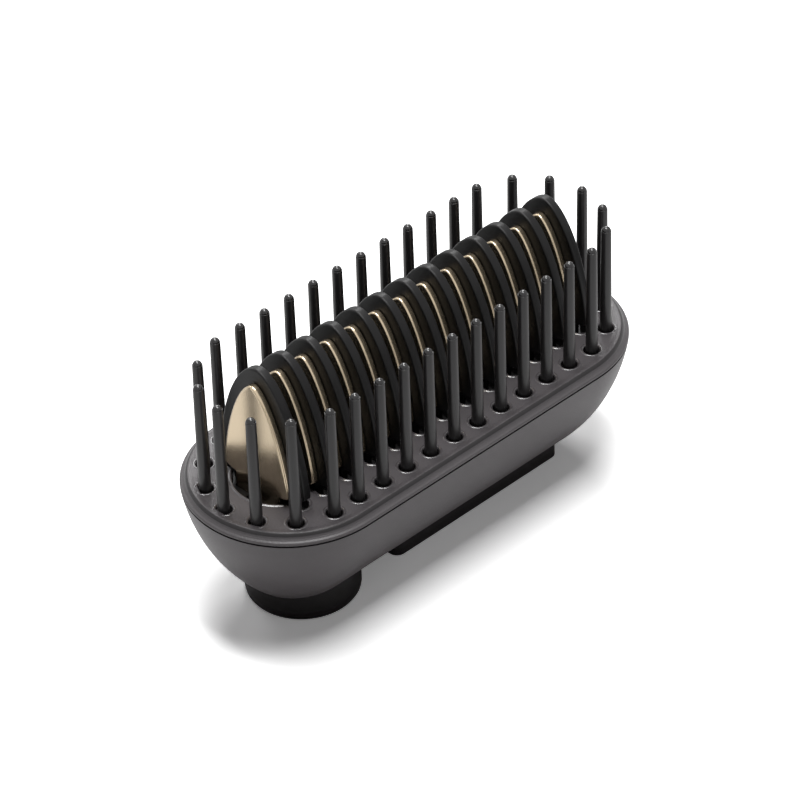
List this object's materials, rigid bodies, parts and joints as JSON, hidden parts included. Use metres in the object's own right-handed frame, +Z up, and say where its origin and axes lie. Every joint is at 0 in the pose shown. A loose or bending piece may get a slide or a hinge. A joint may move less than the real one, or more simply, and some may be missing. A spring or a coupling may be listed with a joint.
{
  "type": "hot air styler brush head",
  "caption": "Detachable brush head of a hot air styler: upright heat plates behind guard fins, rows of pins, a deep bowl with an air plenum, and a round socket with a sprung catch.",
  "frame": {"origin": "centre of the bounding box, on the surface that the head rests on", "axes": "+X along the head away from the socket, +Y across it, +Z up through the pins"},
  "size_m": [0.1162, 0.0468, 0.0629],
  "materials": {
    "plate_grey": "fine textured matte",
    "shell_grey": "satin",
    "fin_black": "soft matte",
    "pin_black": "satin",
    "plate_gold": "champagne satin anodised",
    "collar_black": "matte",
    "guide_dark": "matte, heat resistant",
    "catch_dark": "satin",
    "seal_black": "matte",
    "steel": "bright"
  },
  "bodies": {
    "head": {"top_plate": "plate_grey", "lower_shell": "shell_grey", "rim_seal": "seal_black", "fin_comb": "fin_black", "plate_rod_left": "steel", "plate_rod_right": "steel", "pin_row_left": "pin_black", "pin_row_right": "pin_black", "pin_arc_near": "pin_black", "pin_arc_far": "pin_black", "air_guide": "guide_dark", "inlet_screen": "steel", "inlet_seal": "seal_black", "coupling_collar": "collar_black", "collar_screws": "steel", "catch_spring": "steel", "catch_cover": "guide_dark", "cover_screws": "steel", "case_screws": "steel", "foot_plate": "collar_black", "heat_plate_01": "plate_gold", "heat_plate_02": "plate_gold", "heat_plate_03": "plate_gold", "heat_plate_04": "plate_gold", "heat_plate_05": "plate_gold", "heat_plate_06": "plate_gold", "heat_plate_07": "plate_gold", "heat_plate_08": "plate_gold", "heat_plate_09": "plate_gold", "heat_plate_10": "plate_gold", "heat_plate_11": "plate_gold", "heat_plate_12": "plate_gold", "heat_plate_13": "plate_gold"},
    "catch": {"catch": "catch_dark"}
  },
  "joints": [
    {"name": "catch_slide", "type": "slide", "parent": "head", "child": "catch", "axis": [1, 0, 0], "range_m": [0, 0.0022], "stiffness_N_per_m": 900, "springref_m": -0.002, "deforming": ["catch_spring"]}
  ]
}
